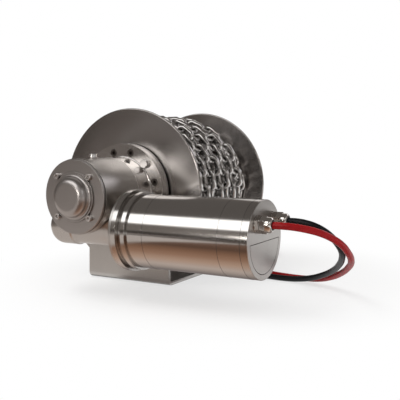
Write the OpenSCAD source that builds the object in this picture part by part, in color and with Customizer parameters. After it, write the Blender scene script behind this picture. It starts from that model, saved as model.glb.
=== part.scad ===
// Drum anchor winch: a chain drum in a bent steel cradle, driven by a worm gearbox and a motor.
// Frame: +X along the motor, +Y from the gearbox to the far end of the drum, +Z up.
// Origin: centre of the base bolt pattern, on the underside of the base. Millimetres.

/* [Drum] */
// Clear width between the two drum flanges
drum_w = 244; // [200:1:280]
// Outer diameter of the drum flanges
flange_d = 288; // [270:1:300]
// Plate thickness of a drum flange
flange_t = 4; // [3:0.5:5]
// Outer diameter of the drum barrel tube
barrel_d = 114.3; // [100:0.1:120]
// Wall of the drum barrel tube
barrel_wall = 3; // [2:0.5:6]
// Thickness of the hub plate inside each end of the barrel
hub_t = 10; // [8:1:14]
// Diameter of the hub boss round the shaft
hub_boss_d = 52; // [44:1:64]
// Length of the hub boss beyond its plate
hub_boss_l = 14; // [8:1:24]
// Diameter of the drum shaft
shaft_d = 30; // [26:1:34]
// Height of the drum axis above the underside of the base
axis_h = 159.5; // [152:0.5:180]

/* [Chain] */
// Diameter of the chain wire
wire_d = 8; // [7:0.5:8]
// Inside length of a link
link_pitch = 24.8; // [24:0.1:26]
// Outside width of a link
link_w = 27; // [26.5:0.1:28]
// Number of links in one turn of the lower layer, an odd number
links_per_turn = 25; // [23:2:27]
// Number of links in one turn of the unfinished top layer, an odd number
top_links_per_turn = 31; // [31:2:33]
// Turns of the lower layer left open beside the far flange
open_turns = 1.3; // [1.1:0.1:3]
// Spacing of the chain turns along the drum
chain_lead = 25.2; // [25.2:0.1:30]

/* [Cradle] */
// Thickness of the bent cradle plate
cradle_t = 6; // [5:0.5:8]
// Width of the cradle across the drum
cradle_w = 172; // [168:1:200]
// Diameter of the round top of each upright
upright_d = 166; // [160:1:168]
// Gap between an upright and the drum flange beside it
side_gap = 4; // [3:0.5:8]
// Outer radius of the two bends
bend_r = 10; // [9:0.5:16]
// Diameter of a base bolt hole
base_hole_d = 10.5; // [8:0.5:13]
// Spacing of the base bolt holes across the drum
base_hole_dx = 120; // [90:1:140]
// Spacing of the base bolt holes along the drum
base_hole_dy = 190; // [150:1:230]

/* [Bearing neck] */
// Diameter of the bolted ring on the upright
ring_d = 166; // [156:1:168]
// Thickness of the bolted ring
ring_t = 12; // [12:0.5:16]
// Diameter of the neck between ring and gear housing
neck_d = 119.5; // [112:0.5:124]
// Length of the neck in front of the ring
neck_l = 36; // [34:1:50]
// Bolt circle of the ring
ring_pcd = 138; // [134:1:142]
// Number of bolt places round the ring
ring_bolts = 12; // [8:2:12]
// Outer diameter of a drum shaft bearing
shaft_brg_d = 62; // [60:1:66]
// Width of a drum shaft bearing
shaft_brg_w = 16; // [14:1:16]
// Diameter of the spigot that centres the ring in the upright
spigot_d = 74; // [72:1:80]

/* [Gear housing] */
// Outer diameter of the gear housing
gear_case_d = 120; // [116:1:128]
// Length of the gear housing along the drum axis
gear_case_l = 85; // [80:1:100]
// Wall round the gear chamber
gear_wall = 9; // [7:0.5:12]
// Thickness of the back wall of the gear chamber
gear_back_t = 12; // [10:1:16]
// Distance between drum axis and worm axis
centre_dist = 52; // [52:0.1:53]
// Distance from the back of the gear housing to the worm axis
worm_back = 42.5; // [40:0.5:46]
// Diameter of the closed boss at the tail of the worm
tail_d = 62; // [58:1:66]
// Distance from the drum axis to the end of the tail boss
tail_x = 77; // [74:1:84]
// Diameter of the worm housing beside the drum axis
worm_case_d = 57; // [54:1:60]
// Distance from the drum axis to the motor flange of the gear housing
case_flange_x = 77; // [74:1:84]
// Thickness of that flange
case_flange_t = 5; // [4:0.5:8]

/* [Gears] */
// Module of worm and wheel
gear_module = 2; // [2:0.1:2]
// Number of teeth on the worm wheel
wheel_teeth = 40; // [40:1:40]
// Face width of the worm wheel
wheel_w = 22; // [16:1:26]
// Diameter of the wheel hub
wheel_hub_d = 50; // [44:1:56]
// Length of the wheel hub
wheel_hub_l = 34; // [28:1:38]
// Tooth play along the pitch line
backlash = 0.8; // [0.6:0.1:1.4]
// Length of the worm thread
worm_l = 44; // [36:1:48]
// Diameter of the worm shaft
worm_shaft_d = 17; // [15:1:18]
// Outer diameter of a worm bearing
worm_brg_d = 35; // [33:1:37]
// Width of a worm bearing
worm_brg_w = 10; // [8:1:12]

/* [Cover] */
// Diameter of the gearbox cover
cover_d = 118; // [112:1:120]
// Thickness of the cover flange
cover_t = 4.4; // [3.5:0.1:6]
// Thickness of the cover gasket
gasket_t = 0.8; // [0.5:0.1:1.5]
// Diameter of the dome foot on the cover
dome_d = 79; // [70:1:80]
// Height of the dome above the cover flange
dome_h = 18; // [14:1:22]
// Bolt circle of the four cover screws
cover_pcd = 90; // [88:1:104]

/* [Motor] */
// Outer diameter of the motor tube
motor_d = 114.3; // [110:0.1:118]
// Distance from the drum axis to the motor end face
motor_end_x = 304.7; // [290:0.1:330]
// Thickness of the end cap
end_cap_t = 12; // [10:0.5:16]
// Outer diameter of the adapter flange
adapter_d = 128; // [122:1:134]
// Thickness of the adapter flange
adapter_t = 8.2; // [6:0.1:12]
// Width of the groove between adapter flange and motor ring
groove_w = 7.3; // [5:0.1:10]
// Outer diameter of the ring at the front of the motor
front_ring_d = 122; // [119:1:128]
// Width of that ring
front_ring_w = 7.1; // [5:0.1:10]
// Wall of the motor tube
motor_wall = 4; // [3:0.5:6]
// Length of the front bell behind its ring
front_bell_l = 29; // [24:1:34]
// Length of the rear bell
rear_bell_l = 35; // [30:1:40]
// Diameter of the motor shaft
motor_shaft_d = 15; // [12:1:16]
// Outer diameter of the armature core
armature_d = 76; // [70:1:80]
// Number of armature slots
armature_slots = 16; // [12:1:20]
// Outer diameter of the commutator
commutator_d = 40; // [36:1:44]

/* [Cable glands] */
// Distance of each gland from the motor axis along the drum
gland_dy = 27; // [24:1:28]
// Height of the glands above the motor axis
gland_dz = 25; // [20:1:27]
// Width across flats of the gland body
gland_af = 22; // [20:1:24]
// Diameter of a cable
cable_d = 10; // [8:0.5:10.5]

/* [Hidden] */

$fn = 64;

// Clearances between pieces
fit = 0.05; // a running or sliding fit, on the radius
loose = 0.3; // a free gap between neighbours

// Places along the drum axis, from the middle of the drum
flange_y = drum_w / 2;
upright_y = flange_y + flange_t + side_gap;
cradle_y = upright_y + cradle_t;
ring_y = -cradle_y - ring_t;
neck_y = ring_y - neck_l;
case_y = neck_y - gear_case_l;
cover_y = case_y - gasket_t - cover_t;
chamber_y = neck_y - gear_back_t;
chamber_d = gear_case_d - 2 * gear_wall;

// Worm axis
worm_y = neck_y - worm_back;
worm_z = axis_h - centre_dist;
wheel_r = gear_module * wheel_teeth / 2;
worm_r = centre_dist - wheel_r;
worm_pitch = PI * gear_module;
worm_root_r = worm_r - 1.2 * gear_module;
worm_tip_r = worm_r + 0.9 * gear_module;

// Places along the worm and motor axis, from the drum axis
adapter_x = case_flange_x + case_flange_t;
groove_x = adapter_x + adapter_t;
front_x = groove_x + groove_w;
bell_x = front_x + front_ring_w + front_bell_l;
rear_x = motor_end_x - end_cap_t - rear_bell_l;
cap_x = motor_end_x - end_cap_t;
motor_r = motor_d / 2;
bore_r = motor_r - motor_wall;

// Chain: edge-on links ride a little further out than flat ones, so that they nest
wire_r = wire_d / 2;
crown_r = (link_w - wire_d) / 2;
crown_x = link_pitch / 2 - crown_r + wire_r;
link_play = 0.4;
chain_side = 0.6;
chain_run = drum_w - link_w - 2 * chain_side;
first_turn_y = -chain_run / 2;
open_turn_y = chain_run / 2 - open_turns * chain_lead;
layer_end_y = open_turn_y - link_w / 2 - chain_side;
top_run = layer_end_y - wire_r - chain_side - first_turn_y;
top_links = floor(top_run / chain_lead * top_links_per_turn);
open_links = floor(open_turns * links_per_turn);

function turn_r(links) = (link_pitch - link_play) / (2 * sin(180 / links));
function nest(links) = (crown_x + crown_r) * tan(180 / links) / 4;
function core_r(links) = turn_r(links) + nest(links) - link_w / 2 - 0.35;

// Keys in the top of the drum shaft
key_w = 8;
key_h = 7;
key_z = axis_h + shaft_d / 2 - key_h / 2;

// Cable routes, chosen by hand: out of the gland, down to the floor, to a coil, out to a lug
gland_l = 24.3;
cable_r = cable_d / 2;
cable_lay = 10.4;
floor_z = cable_lay / 2;
red_turns = 2.25;
black_turns = 2;
red_top = floor_z + red_turns * cable_lay;
black_top = floor_z + black_turns * cable_lay;
red_route = [[329, -253.5, 132.5], [341, -253.5, 132.5], [357, -249, 131.3], [372, -240, 128],
    [385, -228, 123], [395, -211, 115], [402, -190, 104], [404, -162, 88], [399, -129, 71],
    [381, -85, 51], [357, -48, 33], [331, -19, 19], [304, 0, 10], [280, 10, 6.5],
    [256, 15, floor_z], [234, 18, floor_z], [212, 23, floor_z], [188, 34, floor_z],
    [166, 52, floor_z], [146, 76, floor_z], [131, 105, floor_z], [121, 138, floor_z],
    [117, 165, floor_z], [117, 187.7, floor_z]];
black_route = [[329, -199.5, 132.5], [341, -199.5, 132.5], [354, -199.2, 131],
    [367, -197, 127.3], [378, -192, 121], [386, -182.5, 112], [390.5, -168, 100.5],
    [390.5, -149, 87.5], [382.5, -121, 71.8], [367, -86, 54.5], [344, -50, 36.3],
    [320, -26, 23], [295, -11, 13], [268, -3, 7], [242, -1, floor_z], [215, 1, floor_z],
    [190, 7, floor_z], [166, 18, floor_z], [142, 35, floor_z], [122, 57, floor_z],
    [109, 83, floor_z], [104.5, 97, floor_z], [102.3, 111, floor_z], [100.4, 124, floor_z],
    [94.5, 135.7, floor_z], [85.2, 145, floor_z], [73.5, 151, floor_z], [60, 153, floor_z],
    [30, 153, floor_z], [0, 153, floor_z], [-41.7, 153, floor_z]];
red_tail = [[28.7, 276, red_top], [9, 276.3, red_top - 3.4], [-10, 277.4, red_top - 10],
    [-29, 279.2, red_top - 17], [-46, 281.6, floor_z + 1.6], [-61, 283, floor_z],
    [-76, 283, floor_z]];
black_tail = [[-108.3, 153, black_top], [-127, 153, black_top - 3], [-145, 153, black_top - 9.4],
    [-162, 153, floor_z + 4], [-177, 153, floor_z], [-192, 153, floor_z]];
red_coil_at = [62, 221];
black_coil_at = [-75, 208];
coil_r = 55;

steel = "silver";
satin = "darkgray";
dark = "dimgray";

// Place children on the drum axis: their +Z points to the gearbox cover
module on_drum_axis(y) {
    translate([0, y, axis_h])
        rotate([90, 0, 0])
            children();
}

// Place children on the worm and motor axis: their +Z points to the motor end
module on_motor_axis(x) {
    translate([x, worm_y, worm_z])
        rotate([0, 90, 0])
            children();
}

module ring(outer_d, inner_d, h) {
    difference() {
        cylinder(d = outer_d, h = h);
        translate([0, 0, -1])
            cylinder(d = inner_d, h = h + 2);
    }
}

// Key of length l with its middle at y; play widens it for the slot that takes it
module key(y, l, play) {
    translate([-key_w / 2 - play, y - l / 2 - play, key_z - play])
        cube([key_w + 2 * play, l + 2 * play, key_h + 2 * play]);
}

// Repeat children n times on a bolt circle, the first one at angle a0
module around(n, pcd, a0 = 0) {
    for (i = [0 : n - 1])
        rotate(a0 + i * 360 / n)
            translate([pcd / 2, 0, 0])
                children();
}

// Hexagon prism of width af across its flats
module hex(af, h) {
    cylinder(d = af / cos(30), h = h, $fn = 6);
}

// Socket cap screw: head on +Z, shank on -Z
module cap_screw(d, l) {
    difference() {
        union() {
            cylinder(d = 1.6 * d, h = d);
            translate([0, 0, -l])
                cylinder(d = d, h = l + 0.1);
        }
        translate([0, 0, 0.45 * d])
            hex(0.82 * d, d);
    }
}

// Rounded cylinder: its far edge is a quarter round of radius r
module round_end(d, h, r) {
    rotate_extrude() {
        square([d / 2 - r, h]);
        square([d / 2, h - r]);
        translate([d / 2 - r, h - r])
            intersection() {
                circle(r);
                square(r);
            }
    }
}

// Ball bearing, in three pieces that share one profile
ball_share = 0.15;

module race(outer_d, inner_d, w) {
    mid = (outer_d + inner_d) / 4;
    ball = ball_share * (outer_d - inner_d) + fit;
    rotate_extrude()
        difference() {
            translate([inner_d / 2, 0])
                square([(outer_d - inner_d) / 2, w]);
            translate([mid, w / 2])
                circle(ball);
            translate([mid - ball * 0.7, -1])
                square([1.4 * ball, w + 2]);
        }
}

module outer_race(outer_d, inner_d, w) {
    difference() {
        race(outer_d, inner_d, w);
        translate([0, 0, -1])
            cylinder(d = (outer_d + inner_d) / 2, h = w + 2);
    }
}

module inner_race(outer_d, inner_d, w) {
    intersection() {
        race(outer_d, inner_d, w);
        cylinder(d = (outer_d + inner_d) / 2, h = w);
    }
}

module balls(outer_d, inner_d, w, n) {
    around(n, (outer_d + inner_d) / 2)
        translate([0, 0, w / 2])
            sphere(ball_share * (outer_d - inner_d));
}

// Cradle: one bent plate with a round-topped upright at each end of the drum
module upright_outline() {
    translate([0, axis_h])
        circle(d = upright_d);
    polygon([[-cradle_w / 2, bend_r], [cradle_w / 2, bend_r], [upright_d / 2, axis_h],
        [-upright_d / 2, axis_h]]);
}

module cradle_bend() {
    translate([-cradle_w / 2, upright_y + cradle_t - bend_r, bend_r])
        rotate([90, 0, 90])
            linear_extrude(cradle_w)
                intersection() {
                    difference() {
                        circle(bend_r);
                        circle(bend_r - cradle_t);
                    }
                    translate([0, -bend_r])
                        square(bend_r);
                }
}

module cradle() {
    base_l = 2 * (cradle_y - bend_r);
    color(steel)
        difference() {
            union() {
                translate([-cradle_w / 2, -base_l / 2, 0])
                    cube([cradle_w, base_l, cradle_t]);
                for (side = [0, 1])
                    mirror([0, side, 0]) {
                        cradle_bend();
                        translate([0, cradle_y, 0])
                            rotate([90, 0, 0])
                                linear_extrude(cradle_t)
                                    upright_outline();
                    }
            }
            on_drum_axis(-upright_y + 1)
                cylinder(d = spigot_d + 2 * fit, h = cradle_t + 2);
            on_drum_axis(cradle_y + 1)
                cylinder(d = far_spigot_d + 2 * fit, h = cradle_t + 2);
            on_drum_axis(-upright_y + 1)
                around(ring_bolts, ring_pcd, 180 / ring_bolts)
                    cylinder(d = ring_screw_d, h = cradle_t + 2);
            on_drum_axis(cradle_y + 1)
                around(4, far_pcd, 45)
                    cylinder(d = far_screw_d, h = cradle_t + 2);
            for (x = [-1, 1], y = [-1, 1])
                translate([x * base_hole_dx / 2, y * base_hole_dy / 2, -1])
                    cylinder(d = base_hole_d, h = cradle_t + 2);
        }
}

// Bearing neck: bolted ring, neck and spigot in one turned piece
ring_screw_d = 8;
ring_bore_d = 13.6;
ring_bore_l = ring_screw_d + 0.6;
seal_w = 7;
seal_y = -cradle_y - 2;
brg_step = seal_y - neck_y - shaft_brg_w;

module bearing_neck() {
    spigot_l = cradle_t - 0.5;
    land_d = shaft_brg_d - 8;
    color(steel)
        difference() {
            union() {
                on_drum_axis(-cradle_y + spigot_l)
                    cylinder(d = spigot_d, h = spigot_l + 1);
                on_drum_axis(-cradle_y)
                    cylinder(d = ring_d, h = ring_t);
                on_drum_axis(ring_y + 1)
                    cylinder(d = neck_d, h = neck_l + 1);
            }
            on_drum_axis(neck_y + 1)
                mirror([0, 0, 1])
                    cylinder(d = land_d, h = neck_l + ring_t + cradle_t + 2);
            on_drum_axis(seal_y + seal_w + 5)
                cylinder(d = shaft_brg_d + 2 * fit, h = seal_w + 5 + shaft_brg_w);
            on_drum_axis(seal_y - brg_step)
                cylinder(d = shaft_brg_d + 2 * fit, h = neck_l + ring_t);
            on_drum_axis(ring_y + ring_bore_l)
                around(ring_bolts, ring_pcd, 180 / ring_bolts)
                    cylinder(d = ring_bore_d, h = ring_bore_l + 1);
            on_drum_axis(-cradle_y + 1)
                around(ring_bolts, ring_pcd, 180 / ring_bolts)
                    cylinder(d = ring_screw_d + 2 * fit, h = ring_t + 2);
            on_drum_axis(neck_y + neck_screw_l)
                around(neck_screws, neck_screw_pcd)
                    cylinder(d = neck_screw_d, h = neck_screw_l + 1);
            translate([0, ring_y - 24, axis_h])
                rotate([0, 30, 0])
                    translate([0, 0, shaft_brg_d / 2 + 12])
                        cylinder(d = 8, h = neck_d);
        }
}

hex_bolt_place = 1;

module ring_screws() {
    color(dark)
        on_drum_axis(ring_y + ring_bore_l)
            for (i = [0 : ring_bolts - 1])
                if (i != hex_bolt_place)
                    rotate(180 / ring_bolts + i * 360 / ring_bolts)
                        translate([ring_pcd / 2, 0, 0.02])
                            cap_screw(ring_screw_d - 2 * fit, ring_t - ring_bore_l + cradle_t);
}

module ring_hex_bolt() {
    washer_t = 1.6;
    color(steel)
        on_drum_axis(ring_y + ring_bore_l)
            rotate(180 / ring_bolts + hex_bolt_place * 360 / ring_bolts)
                translate([ring_pcd / 2, 0, 0.02]) {
                    cylinder(d = ring_bore_d - 1, h = ring_bore_l);
                    translate([0, 0, ring_bore_l])
                        cylinder(d = 2 * ring_screw_d, h = washer_t);
                    translate([0, 0, ring_bore_l + washer_t])
                        hex(1.625 * ring_screw_d, 0.68 * ring_screw_d);
                    translate([0, 0, ring_bore_l - ring_t - cradle_t])
                        cylinder(d = ring_screw_d - 2 * fit, h = ring_t + cradle_t);
                }
}

// Gear housing: cast gear chamber across the worm tube, which flares to the motor flange
tail_round = 22;
waist_d = 52;
flare_r = 34;

module worm_case() {
    flare_x = worm_case_d / 2 + flare_r;
    on_motor_axis(-tail_x)
        mirror([0, 0, 1])
            translate([0, 0, -50])
                round_end(tail_d, 50, tail_round);
    on_motor_axis(-tail_x + 40)
        cylinder(d = waist_d, h = 40);
    on_motor_axis(-20)
        cylinder(d = worm_case_d, h = case_flange_x + 21);
    on_motor_axis(case_flange_x)
        cylinder(d = adapter_d - 2, h = case_flange_t);
    on_motor_axis(case_flange_x)
        rotate_extrude()
            difference() {
                translate([0, -flare_r])
                    square([flare_x, flare_r + 1]);
                translate([flare_x, -flare_r])
                    circle(flare_r);
            }
}

// Gear chamber, with a boss inside its wall for each cover screw
cover_boss_d = 18;
cover_boss_l = 24;

module gear_chamber() {
    difference() {
        on_drum_axis(chamber_y)
            cylinder(d = chamber_d, h = gear_case_l);
        on_drum_axis(case_y + cover_boss_l)
            around(4, cover_pcd, 45)
                cylinder(d = cover_boss_d, h = cover_boss_l + 1);
    }
}

module gear_housing() {
    color(satin)
        difference() {
            union() {
                on_drum_axis(neck_y)
                    cylinder(d = gear_case_d, h = gear_case_l);
                worm_case();
                translate([0, worm_y, axis_h + gear_case_d / 2 - 4])
                    cylinder(d = 16, h = 4.5);
            }
            gear_chamber();
            on_drum_axis(neck_y + 1)
                cylinder(d = wheel_hub_d + 2, h = gear_back_t + 2);
            on_drum_axis(neck_y + 1)
                around(neck_screws, neck_screw_pcd)
                    cylinder(d = neck_screw_d + 2 * fit, h = gear_back_t + 2);
            on_drum_axis(case_y + cover_boss_l - 6)
                around(4, cover_pcd, 45)
                    cylinder(d = cover_screw_d, h = cover_boss_l);
            on_motor_axis(-worm_brg_x - worm_brg_w)
                cylinder(d = worm_brg_d + 2 * fit, h = worm_brg_w + 1);
            on_motor_axis(-worm_brg_x)
                cylinder(d = worm_brg_d - 5, h = 2 * worm_brg_x);
            on_motor_axis(worm_brg_x - 0.5)
                cylinder(d = worm_brg_d + 2 * fit, h = case_flange_x);
            on_motor_axis(case_flange_x - 4)
                cylinder(d = coupling_d + 10, h = case_flange_t + 6);
            on_motor_axis(adapter_x - 7.5)
                around(6, adapter_pcd, 30)
                    cylinder(d = adapter_screw_d, h = 11);
            translate([0, worm_y, axis_h])
                cylinder(d = plug_thread_d, h = gear_case_d);
        }
}

neck_screws = 6;
neck_screw_d = 6;
neck_screw_l = 14;
neck_screw_pcd = 84;

module neck_screws() {
    color(dark)
        on_drum_axis(chamber_y)
            around(neck_screws, neck_screw_pcd)
                translate([0, 0, 0.02])
                    cap_screw(neck_screw_d - 2 * fit, gear_back_t + neck_screw_l - 2);
}

plug_thread_d = 8;

module filler_plug() {
    plug_l = 12;
    color(steel)
        translate([0, worm_y, axis_h + gear_case_d / 2 + 0.52])
            difference() {
                union() {
                    round_end(13, 6, 1);
                    translate([0, 0, -plug_l])
                        cylinder(d = plug_thread_d - 2 * fit, h = plug_l + 1);
                }
                translate([0, 0, 3])
                    hex(5, 4);
            }
}

// Gearbox cover: flat disc with a stepped dome over the end of the drum shaft
module dome_outline(foot_r, h) {
    shoulder_r = 11;
    side_r = foot_r - 8;
    difference() {
        union() {
            square([foot_r, 2.5]);
            square([foot_r - 3, 4]);
            square([side_r, h - shoulder_r]);
            square([side_r - shoulder_r, h]);
            translate([side_r - shoulder_r, h - shoulder_r])
                circle(shoulder_r);
            translate([side_r, 4])
                difference() {
                    translate([-1, -1])
                        square([5, 5]);
                    translate([4, 4])
                        circle(4);
                }
        }
        translate([-foot_r, -foot_r])
            square([foot_r, 4 * foot_r]);
        translate([0, -2 * foot_r])
            square([2 * foot_r, 2 * foot_r]);
    }
}

module gearbox_cover() {
    inner_r = dome_d / 2 - 12;
    color(satin)
        on_drum_axis(case_y - gasket_t)
            difference() {
                union() {
                    rotate_extrude()
                        difference() {
                            square([cover_d / 2, cover_t]);
                            translate([cover_d / 2, cover_t])
                                rotate(45)
                                    square(1, center = true);
                        }
                    translate([0, 0, cover_t - 0.01])
                        rotate_extrude()
                            dome_outline(dome_d / 2, dome_h);
                }
                translate([0, 0, -1])
                    cylinder(r = inner_r, h = cover_t + dome_h - 9);
                translate([0, 0, -1])
                    around(4, cover_pcd, 45)
                        cylinder(d = cover_screw_d + 2 * fit, h = cover_t + 2);
            }
}

module cover_gasket() {
    color("black")
        on_drum_axis(case_y)
            difference() {
                ring(cover_d - 2, chamber_d - 20, gasket_t);
                translate([0, 0, -1])
                    around(4, cover_pcd, 45)
                        cylinder(d = cover_screw_d + 2 * fit, h = gasket_t + 2);
            }
}

cover_screw_d = 6;

module cover_screws() {
    color(steel)
        on_drum_axis(cover_y)
            around(4, cover_pcd, 45)
                translate([0, 0, 0.02])
                    cap_screw(cover_screw_d - 2 * fit, 16);
}

// Worm wheel: straight teeth set at the lead angle of the worm
lead_angle = atan(gear_module / (2 * worm_r));
tooth_w = worm_pitch / 2 - backlash / 2;

module wheel_tooth() {
    root_r = wheel_r - 1.2 * gear_module;
    tip_r = wheel_r + 0.9 * gear_module;
    slope = tan(20);
    rotate([0, 90, 0])
        rotate(-lead_angle)
            translate([-wheel_w / 2, 0, 0])
                rotate([90, 0, 90])
                    linear_extrude(wheel_w)
                        polygon([[-tooth_w / 2 - (wheel_r - root_r) * slope, root_r - 1],
                            [tooth_w / 2 + (wheel_r - root_r) * slope, root_r - 1],
                            [tooth_w / 2 - (tip_r - wheel_r) * slope, tip_r],
                            [-tooth_w / 2 + (tip_r - wheel_r) * slope, tip_r]]);
}

module worm_wheel() {
    root_r = wheel_r - 1.2 * gear_module;
    color("goldenrod")
        translate([0, worm_y, axis_h])
            rotate([90, 0, 0])
                difference() {
                    union() {
                        translate([0, 0, -wheel_w / 2])
                            cylinder(r = root_r, h = wheel_w);
                        translate([0, 0, -wheel_hub_l / 2])
                            cylinder(d = wheel_hub_d, h = wheel_hub_l);
                        for (i = [0 : wheel_teeth - 1])
                            rotate(90 + (i + 0.5) * 360 / wheel_teeth)
                                wheel_tooth();
                    }
                    translate([0, 0, -wheel_hub_l])
                        cylinder(d = shaft_d + 2 * fit, h = 2 * wheel_hub_l);
                    translate([-key_w / 2 - fit, 0, -wheel_hub_l])
                        cube([key_w + 2 * fit, shaft_d / 2 + key_h / 2 + fit, 2 * wheel_hub_l]);
                }
}

wheel_key_l = wheel_hub_l - 4;

module wheel_key() {
    color(steel)
        key(worm_y, wheel_key_l, 0);
}

// Drum shaft, with a threaded end for the wheel nut
nut_thread_d = 20;
shaft_gear_y = worm_y - wheel_hub_l / 2 + 0.5;
nut_y = worm_y - wheel_hub_l / 2;
nut_h = 12;
shaft_far_y = cradle_y + 14;

module drum_shaft() {
    color(steel)
        difference() {
            union() {
                on_drum_axis(shaft_far_y)
                    cylinder(d = shaft_d, h = shaft_far_y - shaft_gear_y);
                on_drum_axis(shaft_gear_y + 1)
                    cylinder(d = nut_thread_d, h = nut_h + 6);
            }
            key(worm_y, wheel_key_l, fit);
            for (side = [-1, 1])
                key(side * hub_mid_y, drum_key_l, fit);
        }
}

module wheel_nut() {
    washer_t = 2;
    color(steel)
        on_drum_axis(nut_y - 0.1)
            difference() {
                union() {
                    cylinder(d = 38, h = washer_t);
                    translate([0, 0, washer_t])
                        hex(1.5 * nut_thread_d, nut_h - washer_t);
                }
                translate([0, 0, -1])
                    cylinder(d = nut_thread_d + 2 * fit, h = nut_h + 2);
            }
}

// Two ball bearings and the seal in the neck
shaft_balls = 9;

module shaft_bearing_places() {
    for (i = [0, 1])
        on_drum_axis(seal_y - i * brg_step)
            children();
}

module shaft_bearing_outers() {
    color(satin)
        shaft_bearing_places()
            outer_race(shaft_brg_d, shaft_d, shaft_brg_w);
}

module shaft_bearing_inners() {
    color(satin)
        shaft_bearing_places()
            difference() {
                inner_race(shaft_brg_d, shaft_d, shaft_brg_w);
                translate([0, 0, -1])
                    cylinder(d = shaft_d + 2 * fit, h = shaft_brg_w + 2);
            }
}

module shaft_bearing_balls() {
    color(steel)
        shaft_bearing_places()
            balls(shaft_brg_d, shaft_d, shaft_brg_w, shaft_balls);
}

module shaft_seal() {
    color("black")
        on_drum_axis(seal_y + seal_w)
            rotate_extrude()
                difference() {
                    translate([shaft_d / 2 + fit, 0.2])
                        square([(shaft_brg_d - shaft_d) / 2 - fit, seal_w - 0.4]);
                    translate([shaft_d / 2 + 3, -1])
                        square([(shaft_brg_d - shaft_d) / 2 - 6, seal_w - 2]);
                }
}

// Drum: barrel tube, hub plates and two round-edged flange plates
module drum_flange() {
    rotate_extrude() {
        translate([shaft_d / 2 + loose, 0])
            square([flange_d / 2 - flange_t / 2 - shaft_d / 2 - loose, flange_t]);
        translate([flange_d / 2 - flange_t / 2, flange_t / 2])
            circle(d = flange_t);
    }
}

module near_flange() {
    color(steel)
        on_drum_axis(-flange_y)
            drum_flange();
}

module far_flange() {
    color(steel)
        on_drum_axis(flange_y + flange_t)
            drum_flange();
}

module drum_barrel() {
    color(steel)
        on_drum_axis(flange_y - 0.02)
            ring(barrel_d, barrel_d - 2 * barrel_wall, drum_w - 0.04);
}

hub_l = hub_t + hub_boss_l;
hub_mid_y = flange_y - hub_l / 2;
drum_key_l = hub_l - 4;

module drum_hubs() {
    hub_d = barrel_d - 2 * barrel_wall - 2 * fit;
    color(satin)
        for (side = [0, 1])
            mirror([0, side, 0])
                on_drum_axis(flange_y - 0.02)
                    difference() {
                        union() {
                            cylinder(d = hub_d, h = hub_t);
                            cylinder(d = hub_boss_d, h = hub_l);
                        }
                        translate([0, 0, -1])
                            cylinder(d = shaft_d + 2 * fit, h = hub_l + 2);
                        translate([-key_w / 2 - fit, 0, -1])
                            cube([key_w + 2 * fit, shaft_d / 2 + key_h / 2 + fit, hub_l + 2]);
                    }
}

module drum_keys() {
    color(steel)
        for (side = [-1, 1])
            key(side * hub_mid_y, drum_key_l, 0);
}

// Chain: one link lies flat, the next stands on edge, along a helix round the drum
module chain_link() {
    for (end = [-1, 1]) {
        translate([end * crown_x, 0, 0])
            rotate(-90 * end)
                rotate_extrude(angle = 180)
                    translate([crown_r, 0])
                        circle(wire_r);
        translate([-crown_x, end * crown_r, 0])
            rotate([0, 90, 0])
                cylinder(r = wire_r, h = 2 * crown_x);
    }
}

// A row of links from turn to turn, starting over the top of the drum
module chain_row(per_turn, links, start_y) {
    r = turn_r(per_turn);
    tilt = atan(chain_lead / (2 * PI * r));
    for (i = [0 : links])
        translate([0, start_y + i * chain_lead / per_turn, axis_h])
            rotate([0, i * 360 / per_turn, 0])
                translate([0, 0, r + (i % 2 * 2 - 1) * nest(per_turn)])
                    rotate([0, 0, tilt])
                        rotate([i % 2 * 90, 0, 0])
                            chain_link();
}

module chain_top_turn() {
    color(steel)
        chain_row(top_links_per_turn, top_links, first_turn_y);
}

module chain_open_turns() {
    color(steel)
        chain_row(links_per_turn, open_links, open_turn_y);
}

module chain_lower_turns() {
    color(dark)
        difference() {
            union() {
                on_drum_axis(flange_y - loose)
                    cylinder(r = core_r(links_per_turn), h = drum_w - 2 * loose);
                on_drum_axis(layer_end_y)
                    cylinder(r = core_r(top_links_per_turn), h = layer_end_y + flange_y - loose);
            }
            on_drum_axis(flange_y)
                cylinder(d = barrel_d + 2 * loose, h = drum_w);
        }
}

// Far bearing: closed flanged housing with a bronze bush
far_spigot_d = 54;
far_flange_d = 104;
far_flange_t = 8;
far_boss_d = 60;
far_boss_l = 14;
far_pcd = 82;
far_screw_d = 8;
bush_wall = 4;

module far_bearing_housing() {
    spigot_l = cradle_t - 0.5;
    bush_d = shaft_d + 2 * bush_wall;
    color(satin)
        difference() {
            union() {
                on_drum_axis(cradle_y + far_flange_t)
                    cylinder(d = far_flange_d, h = far_flange_t);
                on_drum_axis(cradle_y + 1)
                    cylinder(d = far_spigot_d, h = spigot_l + 1);
                translate([0, cradle_y + far_flange_t - 1, axis_h])
                    rotate([-90, 0, 0])
                        round_end(far_boss_d, far_boss_l - far_flange_t + 9, 4);
            }
            on_drum_axis(cradle_y + 16)
                cylinder(d = bush_d + 2 * fit, h = 16 + cradle_t + 1);
            on_drum_axis(cradle_y + far_flange_t + 1)
                around(4, far_pcd, 45)
                    cylinder(d = far_screw_d + 2 * fit, h = far_flange_t + 2);
        }
}

module far_bush() {
    color("goldenrod")
        on_drum_axis(cradle_y + 15.5)
            ring(shaft_d + 2 * bush_wall, shaft_d + 2 * fit, 15.5 + cradle_t - 1);
}

module far_housing_screws() {
    color(dark)
        translate([0, cradle_y + far_flange_t, axis_h])
            rotate([-90, 0, 0])
                around(4, far_pcd, 45)
                    translate([0, 0, 0.02])
                        cap_screw(far_screw_d - 2 * fit, far_flange_t + cradle_t - 0.5);
}

// Worm: one-start thread on the worm shaft
worm_brg_x = 46;
worm_turn_steps = 24;
worm_shaft_end = 74;

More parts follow.
